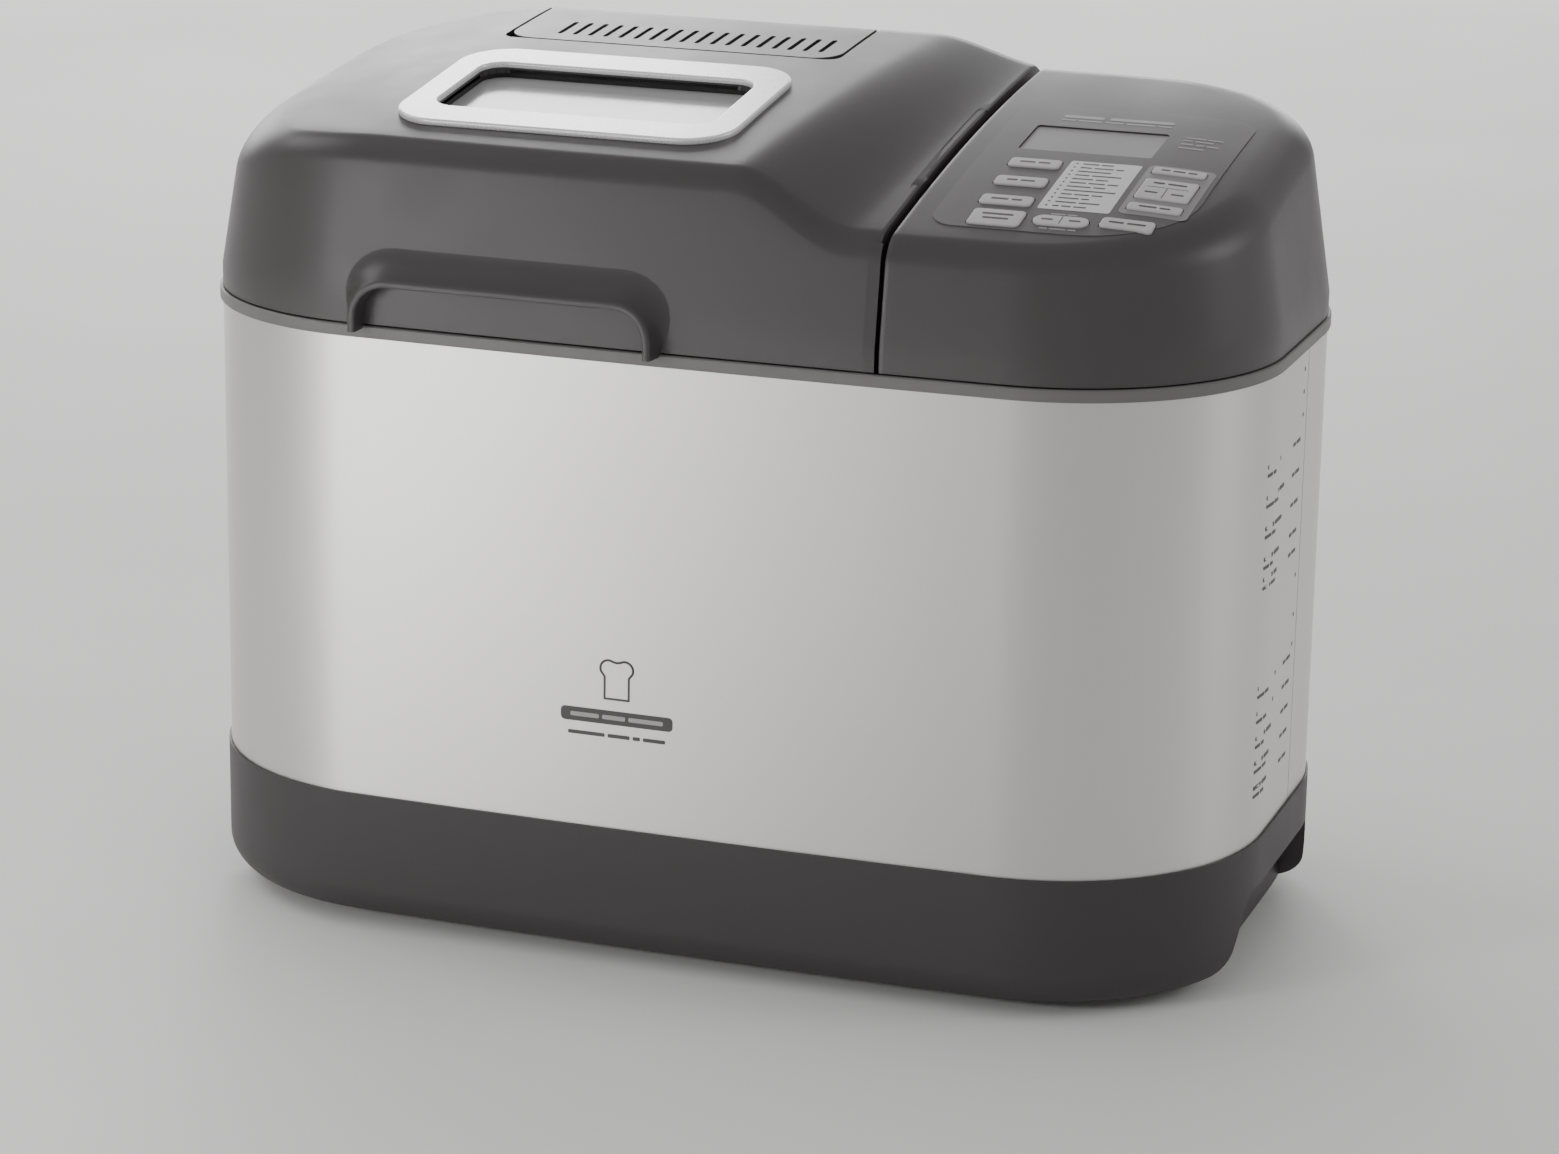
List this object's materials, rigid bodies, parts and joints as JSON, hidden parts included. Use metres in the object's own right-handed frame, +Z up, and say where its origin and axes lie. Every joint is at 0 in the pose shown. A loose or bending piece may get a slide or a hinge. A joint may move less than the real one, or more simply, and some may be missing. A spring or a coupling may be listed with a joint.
{
  "type": "bread machine",
  "caption": "Countertop bread machine: steel-sleeved body, hinged window lid with dispenser, key panel, lift-out kneading pan and belt drive.",
  "frame": {"origin": "middle of the footprint, at the level the rubber feet stand on", "axes": "+X to the right along the long side, +Y to the rear, +Z up"},
  "size_m": [0.4324, 0.262, 0.3381],
  "materials": {
    "charcoal_plastic": "satin moulded plastic",
    "black_plastic": "matt moulded plastic",
    "trim_grey": "satin",
    "label_grey": "satin printed film",
    "brushed_steel": "brushed upright",
    "rubber": "matt",
    "plated_steel": "zinc plated",
    "cast_aluminium": "as cast",
    "nonstick_coating": "matt non-stick coating",
    "bronze": "sintered",
    "bezel_chrome": "satin plated",
    "glass": "clear",
    "board_green": "printed circuit board",
    "key_silver": "silver lacquer"
  },
  "bodies": {
    "housing": {"base_tray": "charcoal_plastic", "rubber_feet": "rubber", "cord_gland": "black_plastic", "chassis_plate": "plated_steel", "chassis_screws": "plated_steel", "steel_wrap": "brushed_steel", "rear_panel": "brushed_steel", "rim_deck": "black_plastic", "trim_band": "trim_grey", "hinge_bracket": "charcoal_plastic", "hinge_pins": "plated_steel", "panel_cover": "charcoal_plastic", "panel_overlay": "label_grey", "lcd_window": "glass", "lcd_module": "black_plastic", "control_board": "board_green", "oven_chamber": "plated_steel", "heating_element": "plated_steel", "thermistor_probe": "plated_steel", "pan_seat": "cast_aluminium", "bearing_housing": "cast_aluminium", "drive_bearings": "plated_steel", "drive_belt": "rubber", "motor_case": "plated_steel", "power_board": "black_plastic"},
    "lid": {"lid_cover": "charcoal_plastic", "lid_handle": "charcoal_plastic", "lid_liner": "cast_aluminium", "lid_seal": "rubber", "window_bezel": "bezel_chrome", "window_glass": "glass", "inner_glass": "glass", "dispenser_box": "black_plastic", "flap_spring": "plated_steel", "solenoid": "plated_steel"},
    "dispenser_lid": {"dispenser_lid": "charcoal_plastic"},
    "dispenser_flap": {"dispenser_flap": "black_plastic"},
    "plunger": {"solenoid_plunger": "plated_steel"},
    "pan": {"bread_pan": "nonstick_coating", "pan_collar": "cast_aluminium", "pan_bush": "bronze"},
    "pan_handle": {"pan_handle": "plated_steel"},
    "paddle": {"pan_shaft": "plated_steel", "pan_coupler": "cast_aluminium", "kneading_paddle": "nonstick_coating"},
    "drive": {"drive_shaft": "plated_steel", "drive_coupler": "cast_aluminium", "drive_pulley": "black_plastic"},
    "motor": {"motor_rotor": "plated_steel", "motor_pulley": "plated_steel"},
    "key_menu": {"key_menu": "key_silver"},
    "key_loaf": {"key_loaf": "key_silver"},
    "key_light": {"key_light": "key_silver"},
    "key_start": {"key_start": "key_silver"},
    "key_time": {"key_time": "key_silver"},
    "key_crust": {"key_crust": "key_silver"},
    "key_custom_top": {"key_custom_top": "key_silver"},
    "key_custom_mid": {"key_custom_mid": "key_silver"},
    "key_custom_low": {"key_custom_low": "key_silver"}
  },
  "joints": [
    {"name": "lid_hinge", "type": "hinge", "parent": "housing", "child": "lid", "pos_m": [-0.067, 0.127, 0.25], "axis": [-1, 0, 0], "range_deg": [0, 80]},
    {"name": "dispenser_lid_hinge", "type": "hinge", "parent": "lid", "child": "dispenser_lid", "pos_m": [-0.0568, 0.087, 0.3344], "axis": [-1, 0, 0], "range_deg": [0, 95]},
    {"name": "dispenser_flap_hinge", "type": "hinge", "parent": "lid", "child": "dispenser_flap", "pos_m": [-0.047, 0.0705, 0.2884], "axis": [1, 0, 0], "range_deg": [0, 75], "stiffness_Nm_per_rad": 0.01, "springref_deg": -20.05},
    {"name": "plunger_slide", "type": "slide", "parent": "lid", "child": "plunger", "axis": [0, 0, -1], "range_m": [0, 0.0052]},
    {"name": "pan_lift", "type": "slide", "parent": "housing", "child": "pan", "axis": [0, 0, 1], "range_m": [0, 0.04]},
    {"name": "pan_handle_hinge", "type": "hinge", "parent": "pan", "child": "pan_handle", "pos_m": [-0.067, -0.004, 0.2325], "axis": [-1, 0, 0], "range_deg": [0, 180]},
    {"name": "drive_spin", "type": "hinge", "parent": "housing", "child": "drive", "pos_m": [-0.067, -0.004, 0.02], "axis": [0, 0, 1], "continuous": true},
    {"name": "motor_spin", "type": "hinge", "parent": "housing", "child": "motor", "pos_m": [0.135, -0.004, 0.02], "axis": [0, 0, 1], "continuous": true},
    {"name": "paddle_spin", "type": "hinge", "parent": "pan", "child": "paddle", "pos_m": [-0.067, -0.004, 0.1], "axis": [0, 0, 1], "continuous": true},
    {"name": "key_menu_press", "type": "slide", "parent": "housing", "child": "key_menu", "axis": [0, 0.1844, -0.9828], "range_m": [0, 0.0007], "stiffness_N_per_m": 400},
    {"name": "key_loaf_press", "type": "slide", "parent": "housing", "child": "key_loaf", "axis": [0, 0.1995, -0.9799], "range_m": [0, 0.0007], "stiffness_N_per_m": 400},
    {"name": "key_light_press", "type": "slide", "parent": "housing", "child": "key_light", "axis": [0, 0.2142, -0.9768], "range_m": [0, 0.0007], "stiffness_N_per_m": 400},
    {"name": "key_start_press", "type": "slide", "parent": "housing", "child": "key_start", "axis": [0, 0.2268, -0.974], "range_m": [0, 0.0007], "stiffness_N_per_m": 400},
    {"name": "key_time_rock", "type": "hinge", "parent": "housing", "child": "key_time", "pos_m": [0.1415, -0.08512, 0.29686], "axis": [0, 0.9742, 0.2258], "range_deg": [-2, 2], "stiffness_Nm_per_rad": 0.5},
    {"name": "key_crust_press", "type": "slide", "parent": "housing", "child": "key_crust", "axis": [-0.0374, 0.2238, -0.9739], "range_m": [0, 0.0007], "stiffness_N_per_m": 400},
    {"name": "key_custom_top_press", "type": "slide", "parent": "housing", "child": "key_custom_top", "axis": [-0.0511, 0.1818, -0.982], "range_m": [0, 0.0007], "stiffness_N_per_m": 400},
    {"name": "key_custom_mid_rock", "type": "hinge", "parent": "housing", "child": "key_custom_mid", "pos_m": [0.17155, -0.04941, 0.30402], "axis": [0, 0.9804, 0.1971], "range_deg": [-2, 2], "stiffness_Nm_per_rad": 0.5},
    {"name": "key_custom_low_press", "type": "slide", "parent": "housing", "child": "key_custom_low", "axis": [-0.0508, 0.2105, -0.9763], "range_m": [0, 0.0007], "stiffness_N_per_m": 400}
  ],
  "couplings": [
    {"joint": "motor_spin", "follows": "drive_spin", "ratio": 5.5},
    {"joint": "paddle_spin", "follows": "drive_spin", "ratio": 1},
    {"joint": "plunger_slide", "follows": "dispenser_flap_hinge", "m_per_rad": 0.00396}
  ]
}
